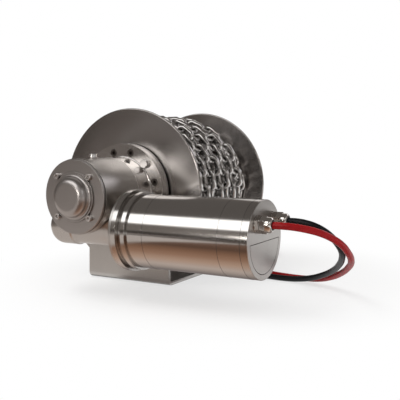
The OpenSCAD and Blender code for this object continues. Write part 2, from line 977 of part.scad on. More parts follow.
// One ring of thread points, at turn angle a: root, crest, crest, root
function thread_ring(a) = let (
    x = a / 360 * worm_pitch,
    low = worm_root_r - 0.5,
    foot = tooth_w / 2 + (worm_r - low) * tan(20),
    crest = tooth_w / 2 - (worm_tip_r - worm_r) * tan(20))
    [for (p = [[low, -foot], [worm_tip_r, -crest], [worm_tip_r, crest], [low, foot]])
        [p[0] * cos(a), p[0] * sin(a), x + p[1]]];

thread_steps = floor(worm_l / worm_pitch * worm_turn_steps);
thread_turns = thread_steps / worm_turn_steps;

module worm_thread() {
    n = thread_steps;
    pts = [for (i = [0 : n]) each thread_ring(i * 360 / worm_turn_steps)];
    sides = [for (i = [0 : n - 1], k = [0 : 3])
        [4 * i + k, 4 * i + (k + 1) % 4, 4 * i + 4 + (k + 1) % 4, 4 * i + 4 + k]];
    polyhedron(pts, concat([[3, 2, 1, 0]], sides, [[4 * n, 4 * n + 1, 4 * n + 2, 4 * n + 3]]));
}

module worm() {
    shaft_x = -worm_brg_x - worm_brg_w + 0.3;
    color(steel) {
        on_motor_axis(shaft_x)
            cylinder(d = worm_shaft_d, h = worm_shaft_end - shaft_x);
        on_motor_axis(-worm_brg_x + 0.1)
            cylinder(r = worm_root_r, h = 2 * worm_brg_x - 0.2);
        on_motor_axis(0)
            rotate(180 - 180 * thread_turns)
                translate([0, 0, -thread_turns * worm_pitch / 2])
                    worm_thread();
    }
}

worm_balls = 8;

module worm_bearing_places() {
    on_motor_axis(-worm_brg_x - worm_brg_w)
        children();
    on_motor_axis(worm_brg_x)
        children();
}

module worm_bearing_outers() {
    color(satin)
        worm_bearing_places()
            outer_race(worm_brg_d, worm_shaft_d, worm_brg_w);
}

module worm_bearing_inners() {
    color(satin)
        worm_bearing_places()
            difference() {
                inner_race(worm_brg_d, worm_shaft_d, worm_brg_w);
                translate([0, 0, -1])
                    cylinder(d = worm_shaft_d + 2 * fit, h = worm_brg_w + 2);
            }
}

module worm_bearing_balls() {
    color(steel)
        worm_bearing_places()
            balls(worm_brg_d, worm_shaft_d, worm_brg_w, worm_balls);
}

module worm_seal() {
    color("black")
        on_motor_axis(worm_brg_x + worm_brg_w + 0.3)
            ring(worm_brg_d, worm_shaft_d + 2 * fit, 6);
}

coupling_d = 28;
coupling_x = 64.5;
coupling_l = 24;

module shaft_coupling() {
    color(satin)
        on_motor_axis(coupling_x)
            difference() {
                cylinder(d = coupling_d, h = coupling_l);
                translate([0, 0, -1])
                    cylinder(d = worm_shaft_d + 2 * fit, h = worm_shaft_end - coupling_x + 1.2);
                translate([0, 0, 2])
                    cylinder(d = motor_shaft_d + 2 * fit, h = coupling_l);
            }
}

// Motor adapter: flange, groove and spigot between gear housing and motor
adapter_pcd = 84;
adapter_screw_d = 6;

module motor_adapter() {
    color(steel)
        difference() {
            union() {
                on_motor_axis(adapter_x)
                    cylinder(d = adapter_d, h = adapter_t);
                on_motor_axis(adapter_x + 1)
                    cylinder(d = motor_d, h = adapter_t + groove_w - 1);
            }
            on_motor_axis(adapter_x - 1)
                cylinder(d = coupling_d + 10, h = adapter_t + groove_w + 2);
            on_motor_axis(adapter_x - 1)
                around(6, adapter_pcd, 30)
                    cylinder(d = adapter_screw_d + 2 * fit, h = adapter_t + groove_w + 2);
            on_motor_axis(front_x - adapter_screw_d - 1)
                around(6, adapter_pcd, 30)
                    cylinder(d = 1.7 * adapter_screw_d, h = 2 * adapter_screw_d);
            on_motor_axis(adapter_x - 1)
                around(2, bolt_pcd)
                    cylinder(d = bolt_d, h = adapter_t + groove_w + 2);
        }
}

module adapter_screws() {
    color(dark)
        on_motor_axis(front_x - adapter_screw_d - 1)
            around(6, adapter_pcd, 30)
                translate([0, 0, 0.02])
                    cap_screw(adapter_screw_d - 2 * fit, 15);
}

// Motor: front bell, tube, rear bell and end cap on one centre line
bolt_d = 5;
bolt_pcd = 88;
bell_spigot = 6;
bell_r = bore_r - 3;
motor_brg_d = 35;
motor_brg_w = 11;
front_wall = 14;

module motor_front_bell() {
    bell_l = bell_x - front_x;
    color(steel)
        difference() {
            union() {
                on_motor_axis(front_x + 0.02)
                    cylinder(d = front_ring_d, h = front_ring_w);
                on_motor_axis(front_x + 1)
                    cylinder(d = motor_d, h = bell_l - 1);
                on_motor_axis(bell_x - 1)
                    cylinder(r = bore_r - fit, h = bell_spigot + 1);
            }
            on_motor_axis(front_x + front_wall)
                cylinder(r = bell_r, h = bell_l);
            on_motor_axis(front_x - 1)
                cylinder(d = motor_shaft_d + 6, h = front_wall + 2);
            on_motor_axis(front_x + front_wall - motor_brg_w)
                cylinder(d = motor_brg_d + 2 * fit, h = motor_brg_w + 1);
            on_motor_axis(front_x - 1)
                around(2, bolt_pcd)
                    cylinder(d = bolt_d + 2 * fit, h = front_wall + 2);
        }
}

module motor_tube() {
    color(steel)
        on_motor_axis(bell_x + 0.02)
            ring(motor_d, 2 * bore_r, rear_x - bell_x - 0.04);
}

rear_web_t = 12;
rear_brg_d = 30;
rear_brg_w = 9;

module motor_rear_bell() {
    color(steel)
        difference() {
            union() {
                on_motor_axis(rear_x)
                    cylinder(d = motor_d, h = rear_bell_l);
                on_motor_axis(rear_x - bell_spigot)
                    cylinder(r = bore_r - fit, h = bell_spigot + 1);
            }
            on_motor_axis(rear_x - bell_spigot - 1)
                cylinder(r = bell_r, h = rear_bell_l + bell_spigot + 1 - rear_web_t);
            on_motor_axis(cap_x - rear_web_t - 1)
                cylinder(d = rear_brg_d + 2 * fit, h = rear_brg_w + 1);
            on_motor_axis(cap_x - rear_web_t)
                cylinder(d = rear_brg_d - 6, h = rear_web_t + 1);
            on_motor_axis(cap_x - rear_web_t - 1)
                around(2, bolt_pcd)
                    cylinder(d = bolt_d + 2 * fit, h = rear_web_t + 2);
            on_motor_axis(cap_x - rear_web_t - 1)
                gland_places()
                    cylinder(d = cable_d + 4, h = rear_web_t + 2);
        }
}

module gland_places() {
    for (side = [-1, 1])
        translate([-gland_dz, side * gland_dy, 0])
            children();
}

module motor_end_cap() {
    color(steel)
        on_motor_axis(cap_x + 0.02)
            difference() {
                round_end(motor_d, end_cap_t - 0.02, 0.8);
                translate([0, 0, -1])
                    cylinder(d = 60, h = 5);
                translate([0, 0, -1])
                    gland_places()
                        cylinder(d = gland_thread_d, h = end_cap_t + 2);
                translate([0, 0, -1])
                    around(2, bolt_pcd)
                        cylinder(d = 1.8 * bolt_d, h = 7);
                translate([0, 0, end_cap_t - plate_groove])
                    linear_extrude(1)
                        plate_border();
            }
}

// Bare name place on the end face: a half-round outline cut as a fine groove
plate_groove = 0.4;
plate_r = 49;

module plate_shape(r) {
    intersection() {
        circle(r);
        translate([1.5 + (plate_r - r), -r])
            square([r, 2 * r]);
    }
}

module plate_border() {
    difference() {
        plate_shape(plate_r);
        plate_shape(plate_r - 0.9);
    }
}

module motor_magnets() {
    color(dark)
        on_motor_axis(armature_x - 4)
            difference() {
                ring(2 * bore_r - 0.2, armature_d + 3, armature_l + 8);
                for (a = [0 : 90 : 270])
                    rotate(a)
                        translate([0, -7, -1])
                            cube([motor_d, 14, armature_l + 10]);
            }
}

armature_x = 148;
armature_l = 80;
commutator_x = 250;
commutator_l = 24;

module motor_shaft() {
    color(steel)
        on_motor_axis(worm_shaft_end + 0.5)
            cylinder(d = motor_shaft_d - 0.02, h = cap_x - 3 - worm_shaft_end - 0.5);
}

slot_d = 6;
slot_r = armature_d / 2 - 5;

module armature_core() {
    color(dark)
        on_motor_axis(armature_x)
            difference() {
                ring(armature_d, motor_shaft_d + 2 * fit, armature_l);
                translate([0, 0, -1])
                    around(armature_slots, 2 * slot_r)
                        cylinder(d = slot_d, h = armature_l + 2);
                for (i = [0 : armature_slots - 1])
                    rotate(i * 360 / armature_slots)
                        translate([slot_r, -1, -1])
                            cube([armature_d, 2, armature_l + 2]);
            }
}

module armature_windings() {
    end_w = 12;
    color("peru")
        on_motor_axis(armature_x)
            union() {
                for (x = [-end_w - 0.05, armature_l + 0.05])
                    translate([0, 0, x])
                        ring(2 * (slot_r + 4), motor_shaft_d + 8, end_w);
                translate([0, 0, -1])
                    around(armature_slots, 2 * slot_r)
                        cylinder(d = slot_d - 2 * fit, h = armature_l + 2);
            }
}

module commutator() {
    bars = 16;
    color("chocolate")
        on_motor_axis(commutator_x)
            difference() {
                ring(commutator_d, motor_shaft_d + 2 * fit, commutator_l);
                for (i = [0 : bars - 1])
                    rotate(i * 360 / bars)
                        translate([commutator_d / 2 - 1.5, -0.3, -1])
                            cube([4, 0.6, commutator_l + 2]);
            }
}

brush_w = 10;

module brush_holder() {
    hole_d = commutator_d + 6;
    color("saddlebrown")
        on_motor_axis(commutator_x + 2)
            difference() {
                ring(2 * bell_r - 2 * fit, hole_d, commutator_l - 8);
                for (a = [45 : 90 : 315])
                    rotate(a)
                        translate([0, -brush_w / 2 - fit, 3])
                            cube([44, brush_w + 2 * fit, commutator_l]);
                around(2, bolt_pcd)
                    translate([0, 0, -1])
                        cylinder(d = bolt_d + 2, h = commutator_l);
            }
}

module brushes() {
    color("black")
        on_motor_axis(commutator_x + 5.1)
            for (a = [45 : 90 : 315])
                rotate(a)
                    intersection() {
                        translate([0, -brush_w / 2, 0])
                            cube([40, brush_w, 12]);
                        translate([0, 0, -1])
                            ring(100, commutator_d + 2 * fit, 14);
                    }
}

module motor_bearings() {
    color(satin) {
        on_motor_axis(front_x + front_wall - motor_brg_w)
            ring(motor_brg_d, motor_shaft_d + 2 * fit, motor_brg_w);
        on_motor_axis(cap_x - rear_web_t)
            ring(rear_brg_d, motor_shaft_d + 2 * fit, rear_brg_w - 0.1);
    }
}

module through_bolts() {
    color(dark)
        on_motor_axis(cap_x + 0.1)
            around(2, bolt_pcd) {
                cylinder(d = 1.6 * bolt_d, h = 4);
                translate([0, 0, adapter_x + 3 - cap_x])
                    cylinder(d = bolt_d - 2 * fit, h = cap_x - adapter_x - 2);
            }
}

// Cable glands: body with two hexagons, dome nut and rubber seal
gland_thread_d = 16;

module gland_bodies() {
    color("silver")
        on_motor_axis(motor_end_x + 0.02)
            gland_places()
                difference() {
                    union() {
                        translate([0, 0, -end_cap_t + 1])
                            cylinder(d = gland_thread_d - 2 * fit, h = end_cap_t);
                        cylinder(d = gland_af + 2, h = 2);
                        hex(gland_af, 7);
                        cylinder(d = gland_af - 4, h = 11);
                    }
                    translate([0, 0, -end_cap_t])
                        cylinder(d = cable_d + 1, h = 30);
                }
}

module gland_nuts() {
    nut_l = gland_l - 7.5;
    color("silver")
        on_motor_axis(motor_end_x + 7.5)
            gland_places()
                difference() {
                    union() {
                        hex(gland_af, 8);
                        round_end(gland_af, nut_l, 5);
                    }
                    translate([0, 0, -1])
                        cylinder(d = gland_af - 4 + 2 * fit, h = 5);
                    translate([0, 0, -1])
                        cylinder(d = seal_d + 2 * fit, h = gland_l);
                }
}

seal_d = 14;

module gland_seals() {
    color("black")
        on_motor_axis(motor_end_x + 11.5)
            gland_places()
                ring(seal_d, cable_d - 2, gland_l - 11.5);
}

// A round cable swept along its route
cable_sides = 12;

function unit(v) = v / norm(v);
function heading(p, i) = unit(p[min(i + 1, len(p) - 1)] - p[max(i - 1, 0)]);
function cable_ring(at, dir) = let (
    side = unit(cross(dir, [0, 0, 1])),
    up = cross(side, dir))
    [for (k = [0 : cable_sides - 1])
        at + cable_r * (cos(k * 360 / cable_sides) * side + sin(k * 360 / cable_sides) * up)];

module cable_run(route) {
    n = len(route);
    m = cable_sides;
    pts = [for (i = [0 : n - 1]) each cable_ring(route[i], heading(route, i))];
    sides = [for (i = [0 : n - 2], k = [0 : m - 1])
        [m * i + k, m * i + (k + 1) % m, m * (i + 1) + (k + 1) % m, m * (i + 1) + k]];
    start = [for (k = [m - 1 : -1 : 0]) k];
    finish = [for (k = [0 : m - 1]) m * (n - 1) + k];
    polyhedron(pts, concat([start], sides, [finish]));
}

module cable_coil(at, top) {
    translate([at[0], at[1], floor_z - cable_r])
        rotate_extrude()
            translate([coil_r - cable_r, 0])
                square([cable_d, top - floor_z + cable_d]);
}

// Crimped cable lug with an eye, lying flat; its barrel starts at the origin and runs along +X
module lug() {
    barrel_d = 14;
    barrel_l = 24;
    palm_l = 22;
    palm_w = 18;
    palm_t = 4;
    difference() {
        rotate([0, 90, 0])
            cylinder(d = barrel_d, h = barrel_l);
        translate([-20, -20, -40 - cable_r])
            cube([60, 40, 40]);
    }
    translate([0, 0, -cable_r])
        difference() {
            union() {
                translate([barrel_l - 6, -palm_w / 2, 0])
                    cube([palm_l, palm_w, palm_t]);
                translate([barrel_l - 6 + palm_l, 0, 0])
                    cylinder(d = palm_w, h = palm_t);
            }
            translate([barrel_l - 6 + palm_l, 0, -1])
                cylinder(d = 8.5, h = palm_t + 2);
        }
}

module red_cable() {
    color("red") {
        cable_run(red_route);
        cable_run(red_tail);
    }
}

module black_cable() {
    color("black") {
        cable_run(black_route);
        cable_run(black_tail);
    }
}

module red_cable_coil() {
    color("red")
        cable_coil(red_coil_at, red_top);
}

module black_cable_coil() {
    color("black")
        cable_coil(black_coil_at, black_top);
}

module red_lug() {
    color("silver")
        translate(red_tail[len(red_tail) - 1])
            rotate(180)
                lug();
}

module black_lug() {
    color("silver")
        translate(black_tail[len(black_tail) - 1])
            rotate(180)
                lug();
}

cradle();
bearing_neck();
ring_screws();
ring_hex_bolt();
gear_housing();
neck_screws();
filler_plug();
gearbox_cover();
cover_gasket();
cover_screws();
worm_wheel();
wheel_key();
wheel_nut();
drum_shaft();
shaft_bearing_outers();
shaft_bearing_balls();
shaft_bearing_inners();
shaft_seal();
near_flange();
far_flange();
drum_barrel();
drum_hubs();
drum_keys();
chain_lower_turns();
chain_open_turns();
chain_top_turn();
far_bearing_housing();
far_bush();
far_housing_screws();
worm();
worm_bearing_outers();
worm_bearing_balls();
worm_bearing_inners();
worm_seal();
shaft_coupling();
motor_adapter();
adapter_screws();
motor_front_bell();
motor_tube();
motor_rear_bell();
motor_end_cap();
motor_magnets();
motor_shaft();
armature_core();
armature_windings();
commutator();
brush_holder();
brushes();
motor_bearings();
through_bolts();
gland_bodies();
gland_nuts();
gland_seals();
red_cable();
black_cable();
red_cable_coil();
black_cable_coil();
red_lug();
black_lug();
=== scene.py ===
import math

import bpy
from mathutils import Matrix, Vector


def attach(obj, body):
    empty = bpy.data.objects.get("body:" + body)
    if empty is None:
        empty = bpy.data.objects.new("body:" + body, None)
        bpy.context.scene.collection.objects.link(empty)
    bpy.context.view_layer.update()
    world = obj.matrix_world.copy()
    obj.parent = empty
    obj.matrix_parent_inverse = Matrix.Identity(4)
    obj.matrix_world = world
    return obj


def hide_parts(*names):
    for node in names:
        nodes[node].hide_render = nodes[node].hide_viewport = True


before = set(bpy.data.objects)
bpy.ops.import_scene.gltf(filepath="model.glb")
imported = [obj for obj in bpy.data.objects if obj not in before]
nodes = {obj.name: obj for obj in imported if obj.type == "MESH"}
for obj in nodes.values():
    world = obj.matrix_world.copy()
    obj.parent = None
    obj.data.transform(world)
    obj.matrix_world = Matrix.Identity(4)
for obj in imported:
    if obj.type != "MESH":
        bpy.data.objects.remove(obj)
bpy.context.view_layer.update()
scene = bpy.context.scene
scene.view_settings.view_transform = "Standard"


# ---- Camera ----
# It stands in front of the motor end, a little above it, with a short telephoto lens. The angles
# are in degrees: round to the left, down from level, and a slight roll.
CAMERA_PLACE = (0.6766, -1.0563, 0.2441)
CAMERA_LEFT = 29.88
CAMERA_DOWN = 5.06
CAMERA_ROLL = -0.14
camera_data = bpy.data.cameras.new("camera")
camera_data.sensor_width = 36
camera_data.lens = 58.63
camera = bpy.data.objects.new("camera", camera_data)
scene.collection.objects.link(camera)
camera.matrix_world = (
    Matrix.Translation(CAMERA_PLACE)
    @ Matrix.Rotation(math.radians(CAMERA_LEFT), 4, "Z")
    @ Matrix.Rotation(math.radians(90 - CAMERA_DOWN), 4, "X")
    @ Matrix.Rotation(math.radians(CAMERA_ROLL), 4, "Z")
)
scene.camera = camera


# ---- Motor cables ----
# Two tinned copper battery cables in smooth PVC, red and black, each led out of its gland and laid
# down to the floor by hand. What the camera doesn't see is wound into a flat coil behind the drum.
CABLE_R = 0.005
CABLE_LAY = 0.0104
COIL_R = 0.055
COIL_STEPS = 12
FLOOR_RUN = CABLE_LAY / 2


def new_material(name):
    material = bpy.data.materials.new(name)
    material.use_nodes = True
    return material, material.node_tree.nodes, material.node_tree.links


def cable_jacket(name, colour, scuffed):
    material, n, link = new_material(name)
    shader = n["Principled BSDF"]
    shader.inputs["Specular IOR Level"].default_value = 0.2
    place = n.new("ShaderNodeTexCoord")
    scuffs = n.new("ShaderNodeTexNoise")
    scuffs.inputs["Scale"].default_value = 45
    scuffs.inputs["Detail"].default_value = 6
    link.new(place.outputs["Object"], scuffs.inputs["Vector"])
    tint = n.new("ShaderNodeValToRGB")
    tint.color_ramp.elements[0].position = 0.35
    tint.color_ramp.elements[0].color = (*colour, 1)
    tint.color_ramp.elements[1].position = 0.75
    tint.color_ramp.elements[1].color = (*scuffed, 1)
    link.new(scuffs.outputs["Fac"], tint.inputs["Fac"])
    link.new(tint.outputs["Color"], shader.inputs["Base Color"])
    gloss = n.new("ShaderNodeMapRange")
    gloss.inputs["To Min"].default_value = 0.28
    gloss.inputs["To Max"].default_value = 0.48
    link.new(scuffs.outputs["Fac"], gloss.inputs["Value"])
    link.new(gloss.outputs["Result"], shader.inputs["Roughness"])
    ripple = n.new("ShaderNodeBump")
    ripple.inputs["Strength"].default_value = 0.12
    ripple.inputs["Distance"].default_value = 0.0006
    link.new(scuffs.outputs["Fac"], ripple.inputs["Height"])
    link.new(ripple.outputs["Normal"], shader.inputs["Normal"])
    return material


def coil_turns(centre, start, turns, way):
    """Points round a coil that rises by one lay a turn. start is in degrees, way is 1 or -1."""
    points = []
    for i in range(round(turns * COIL_STEPS) + 1):
        angle = math.radians(start) + way * 2 * math.pi * i / COIL_STEPS
        points.append((
            centre[0] + COIL_R * math.cos(angle),
            centre[1] + COIL_R * math.sin(angle),
            FLOOR_RUN + CABLE_LAY * i / COIL_STEPS,
        ))
    return points


def lay_cable(name, route, jacket, hidden):
    """A round cable through the points of its route, in place of the plain CAD nodes in hidden."""
    curve = bpy.data.curves.new(name, "CURVE")
    curve.dimensions = "3D"
    curve.bevel_depth = CABLE_R
    curve.bevel_resolution = 5
    curve.resolution_u = 6
    curve.use_fill_caps = True
    line = curve.splines.new("BEZIER")
    line.bezier_points.add(len(route) - 1)
    for knot, point in zip(line.bezier_points, route):
        knot.co = point
        knot.handle_left_type = knot.handle_right_type = "AUTO"
    curve.materials.append(jacket)
    cable = bpy.data.objects.new(name, curve)
    scene.collection.objects.link(cable)
    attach(cable, "frame")
    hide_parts(*hidden)
    return cable


def metres(points):
    return [tuple(value / 1000 for value in point) for point in points]


# Each lead runs from its gland to just before the coil, and each tail from the coil to the lug.
# Their points are written in millimetres.
RED_TURNS = 2.25
BLACK_TURNS = 2
FLOOR = FLOOR_RUN * 1000
red_top = FLOOR + RED_TURNS * CABLE_LAY * 1000
black_top = FLOOR + BLACK_TURNS * CABLE_LAY * 1000
red_lead = metres([
    (329, -253.5, 132.5), (341, -253.5, 132.5), (357, -249, 131.3), (372, -240, 128),
    (385, -228, 123), (395, -211, 115), (402, -190, 104), (404, -162, 88), (399, -129, 71),
    (381, -85, 51), (357, -48, 33), (331, -19, 19), (304, 0, 10), (280, 10, 6.5),
    (256, 15, FLOOR), (234, 18, FLOOR), (212, 23, FLOOR), (188, 34, FLOOR),
    (166, 52, FLOOR), (146, 76, FLOOR), (131, 105, FLOOR), (121, 138, FLOOR),
    (117, 165, FLOOR), (117, 195, FLOOR),
])
black_lead = metres([
    (329, -199.5, 132.5), (341, -199.5, 132.5), (354, -199.2, 131), (367, -197, 127.3),
    (378, -192, 121), (386, -182.5, 112), (390.5, -168, 100.5), (390.5, -149, 87.5),
    (382.5, -121, 71.8), (367, -86, 54.5), (344, -50, 36.3), (320, -26, 23), (295, -11, 13),
    (268, -3, 7), (242, -1, FLOOR), (215, 1, FLOOR), (190, 7, FLOOR), (166, 18, FLOOR),
    (142, 35, FLOOR), (122, 57, FLOOR), (109, 83, FLOOR), (104.5, 97, FLOOR),
    (102.3, 111, FLOOR), (100.4, 124, FLOOR), (94.5, 135.7, FLOOR), (85.2, 145, FLOOR),
    (73.5, 151, FLOOR), (60, 153, FLOOR), (30, 153, FLOOR), (0, 153, FLOOR),
    (-41.7, 153, FLOOR),
])
red_tail = metres([
    (28.7, 276, red_top), (9, 276.3, red_top - 3.4), (-10, 277.4, red_top - 10),
    (-29, 279.2, red_top - 17), (-46, 281.6, FLOOR + 1.6), (-61, 283, FLOOR), (-76, 283, FLOOR),
])
black_tail = metres([
    (-108.3, 153, black_top), (-127, 153, black_top - 3), (-145, 153, black_top - 9.4),
    (-162, 153, FLOOR + 4), (-177, 153, FLOOR), (-192, 153, FLOOR),
])
red_jacket = cable_jacket("red_pvc", (0.3, 0.003, 0.005), (0.38, 0.008, 0.01))
black_jacket = cable_jacket("black_pvc", (0.005, 0.005, 0.006), (0.012, 0.012, 0.014))
red_cable = lay_cable(
    "red_motor_cable",
    red_lead + coil_turns((0.062, 0.221), 0, RED_TURNS, 1) + red_tail,
    red_jacket, ["red_cable", "red_cable_coil"],
)
black_cable = lay_cable(
    "black_motor_cable",
    black_lead + coil_turns((-0.075, 0.208), -90, BLACK_TURNS, -1) + black_tail,
    black_jacket, ["black_cable", "black_cable_coil"],
)


# ---- Studio ----
# A white table top that runs out into plain white, under one long soft lamp and a weaker one at
# the right. Grey and brown cards stand round the table, so that the polished steel has depth.
def show_to_reflections_only(obj):
    obj.visible_camera = False
    obj.visible_shadow = False
    obj.visible_diffuse = False
    obj.visible_transmission = False


def seen_or_mirrored(n, link):
    ray = n.new("ShaderNodeLightPath")
    seen = n.new("ShaderNodeMath")
    seen.operation = "MAXIMUM"
    link.new(ray.outputs["Is Camera Ray"], seen.inputs[0])
    link.new(ray.outputs["Is Transmission Ray"], seen.inputs[1])
    both = n.new("ShaderNodeMath")
    both.operation = "MAXIMUM"
    link.new(seen.outputs[0], both.inputs[0])
    link.new(ray.outputs["Is Glossy Ray"], both.inputs[1])
    return both.outputs[0]


world = bpy.data.worlds.new("surround")
scene.world = world
world.use_nodes = True
n, link = world.node_tree.nodes, world.node_tree.links
n.clear()
fill = n.new("ShaderNodeBackground")
fill.inputs["Color"].default_value = (1, 0.985, 0.97, 1)
fill.inputs["Strength"].default_value = 0.55
white = n.new("ShaderNodeBackground")
white.inputs["Color"].default_value = (1, 1, 1, 1)
white.inputs["Strength"].default_value = 1
choose = n.new("ShaderNodeMixShader")
link.new(seen_or_mirrored(n, link), choose.inputs[0])
link.new(fill.outputs[0], choose.inputs[1])
link.new(white.outputs[0], choose.inputs[2])
surround_out = n.new("ShaderNodeOutputWorld")
link.new(choose.outputs[0], surround_out.inputs["Surface"])

bpy.ops.mesh.primitive_plane_add(size=14, location=(0, 0, -0.0004))
table = bpy.context.object
table.name = "white_table"
material, n, link = new_material("white_table_top")
paint = n["Principled BSDF"]
paint.inputs["Base Color"].default_value = (0.93, 0.93, 0.93, 1)
paint.inputs["Roughness"].default_value = 0.8
paint.inputs["Specular IOR Level"].default_value = 0.15
place = n.new("ShaderNodeTexCoord")
far = n.new("ShaderNodeVectorMath")
far.operation = "DISTANCE"
far.inputs[1].default_value = (0.1, 0, 0)
link.new(place.outputs["Object"], far.inputs[0])
fade = n.new("ShaderNodeMapRange")
fade.interpolation_type = "SMOOTHSTEP"
fade.inputs["From Min"].default_value = 0.22
fade.inputs["From Max"].default_value = 0.46
fade.inputs["To Min"].default_value = 0.64
link.new(far.outputs["Value"], fade.inputs["Value"])
share = n.new("ShaderNodeMath")
share.operation = "MULTIPLY"
link.new(fade.outputs["Result"], share.inputs[0])
link.new(seen_or_mirrored(n, link), share.inputs[1])
plain_white = n.new("ShaderNodeEmission")
plain_white.inputs["Strength"].default_value = 1
blend = n.new("ShaderNodeMixShader")
link.new(share.outputs[0], blend.inputs[0])
link.new(paint.outputs[0], blend.inputs[1])
link.new(plain_white.outputs[0], blend.inputs[2])
link.new(blend.outputs[0], n["Material Output"].inputs["Surface"])
table.data.materials.append(material)


def card(name, centre, across, up, colour, soft=0):
    """A plain card, from its centre and its half width and half height as vectors. soft is the
    share of each half over which its edges fade away."""
    mesh = bpy.data.meshes.new(name)
    c, a, b = Vector(centre), Vector(across), Vector(up)
    mesh.from_pydata([c - a - b, c + a - b, c + a + b, c - a + b], [], [(0, 1, 2, 3)])
    sheet = bpy.data.objects.new(name, mesh)
    scene.collection.objects.link(sheet)
    material, n, link = new_material(name)
    n.remove(n["Principled BSDF"])
    glow = n.new("ShaderNodeEmission")
    glow.inputs["Color"].default_value = (*colour, 1)
    surface = glow.outputs[0]
    if soft:
        place = n.new("ShaderNodeTexCoord")
        from_centre = n.new("ShaderNodeVectorMath")
        from_centre.operation = "SUBTRACT"
        from_centre.inputs[1].default_value = c
        link.new(place.outputs["Object"], from_centre.inputs[0])
        share = None
        for half in (a, b):
            along = n.new("ShaderNodeVectorMath")
            along.operation = "DOT_PRODUCT"
            along.inputs[1].default_value = half / half.length_squared
            link.new(from_centre.outputs[0], along.inputs[0])
            size = n.new("ShaderNodeMath")
            size.operation = "ABSOLUTE"
            link.new(along.outputs["Value"], size.inputs[0])
            edge = n.new("ShaderNodeMapRange")
            edge.interpolation_type = "SMOOTHSTEP"
            edge.inputs["From Min"].default_value = 1 - soft
            edge.inputs["From Max"].default_value = 1
            edge.inputs["To Min"].default_value = 1
            edge.inputs["To Max"].default_value = 0
            link.new(size.outputs[0], edge.inputs["Value"])
            if share is None:
                share = edge.outputs["Result"]
            else:
                both = n.new("ShaderNodeMath")
                both.operation = "MULTIPLY"
                link.new(share, both.inputs[0])
                link.new(edge.outputs["Result"], both.inputs[1])
                share = both.outputs[0]
        clear = n.new("ShaderNodeBsdfTransparent")
        fade_out = n.new("ShaderNodeMixShader")
        link.new(share, fade_out.inputs[0])
        link.new(clear.outputs[0], fade_out.inputs[1])
        link.new(surface, fade_out.inputs[2])
        surface = fade_out.outputs[0]
    link.new(surface, n["Material Output"].inputs["Surface"])
    mesh.materials.append(material)
    show_to_reflections_only(sheet)
    return n, link, glow


card("wall_behind", (0, 2.6, 1.4), (3.2, 0, 0), (0, 0, 1.4), (0.14, 0.125, 0.115))
card("wall_left", (-3, 0, 1.4), (0, 3.2, 0), (0, 0, 1.4), (0.14, 0.122, 0.112))
card("wall_front", (0, -3.4, 1.0), (3.2, 0, 0), (0, 0, 1.0), (0.19, 0.17, 0.155))
card("wall_front_foot", (-1.2, -3.38, 0.2), (2.0, 0, 0), (0, 0, 0.3), (0.05, 0.042, 0.038), 0.4)
card("wall_right", (3.2, 0, 1.4), (0, 3.2, 0), (0, 0, 1.4), (0.3, 0.28, 0.27))
card("ceiling", (0, 0, 2.8), (3.2, 0, 0), (0, 3.4, 0), (0.13, 0.118, 0.11))
card("ground_left", (-1.9, 0, 0.002), (1.2, 0, 0), (0, 3.2, 0), (0.22, 0.185, 0.165))
card("ground_front", (-0.45, -2.25, 0.0025), (0.8, 0, 0), (0, 1.15, 0), (0.1, 0.08, 0.07))
card("ground_far_left", (-1.15, -1.9, 0.003), (0.5, 0, 0), (0, 0.6, 0), (0.34, 0.305, 0.285), 0.5)
card("pale_floor", (-0.35, -0.6, 0.003), (0.45, 0, 0), (0, 0.5, 0), (0.6, 0.545, 0.51), 0.15)
card("ground_behind", (0.6, 2.0, 0.0025), (2.6, 0, 0), (0, 1.1, 0), (0.22, 0.205, 0.195))
card("window_behind", (-0.55, 2.5, 1.75), (0.8, 0, 0), (0, 0, 0.75), (1.05, 1.02, 0.99), 0.35)
card("window_right", (1.1, 2.5, 1.45), (0.95, 0, 0), (0, 0, 0.65), (1.6, 1.56, 1.64), 0.3)
card("softbox", (-0.85, -2.2, 1.97), (1.6, 0, 0), (0, 0.61, 0.61), (2.3, 2.29, 2.28), 0.42)
card("fan_strip", (-0.07, -1.6, 0.39), (0.247, 0, 0.097), (-0.04, 0, 0.1), (15, 14.4, 13.8), 0.5)
card("softbox_right", (1.9, -0.9, 1.2), (0.2, 0.3, 0), (0, 0, 0.35), (1.9, 1.9, 1.9), 0.3)

# The last card has its tone by depth, from the dark front edge to the pale strip by the motor.
n, link, glow = card(
    "brown_floor", (0.32, -0.64, 0.0035), (0.36, 0, 0), (0, 0.6, 0), (0.2, 0.1, 0.1), 0.12,
)
place = n.new("ShaderNodeTexCoord")
axes = n.new("ShaderNodeSeparateXYZ")
link.new(place.outputs["Object"], axes.inputs[0])
depth = n.new("ShaderNodeMapRange")
depth.inputs["From Min"].default_value = -1.2
depth.inputs["From Max"].default_value = -0.2
link.new(axes.outputs["Y"], depth.inputs["Value"])
tones = n.new("ShaderNodeValToRGB")
stops = tones.color_ramp.elements
stops[0].color = (0.06, 0.045, 0.04, 1)
stops[1].color = (0.24, 0.21, 0.2, 1)
for position, tone in (
    (0.12, (0.13, 0.085, 0.065)), (0.55, (0.21, 0.125, 0.09)), (0.74, (0.14, 0.08, 0.055)),
    (0.82, (0.3, 0.165, 0.105)), (0.87, (0.42, 0.25, 0.17)), (0.91, (0.6, 0.42, 0.32)),
    (0.945, (0.64, 0.54, 0.48)),
):
    stops.new(position).color = (*tone, 1)
link.new(depth.outputs["Result"], tones.inputs["Fac"])
link.new(tones.outputs["Color"], glow.inputs["Color"])


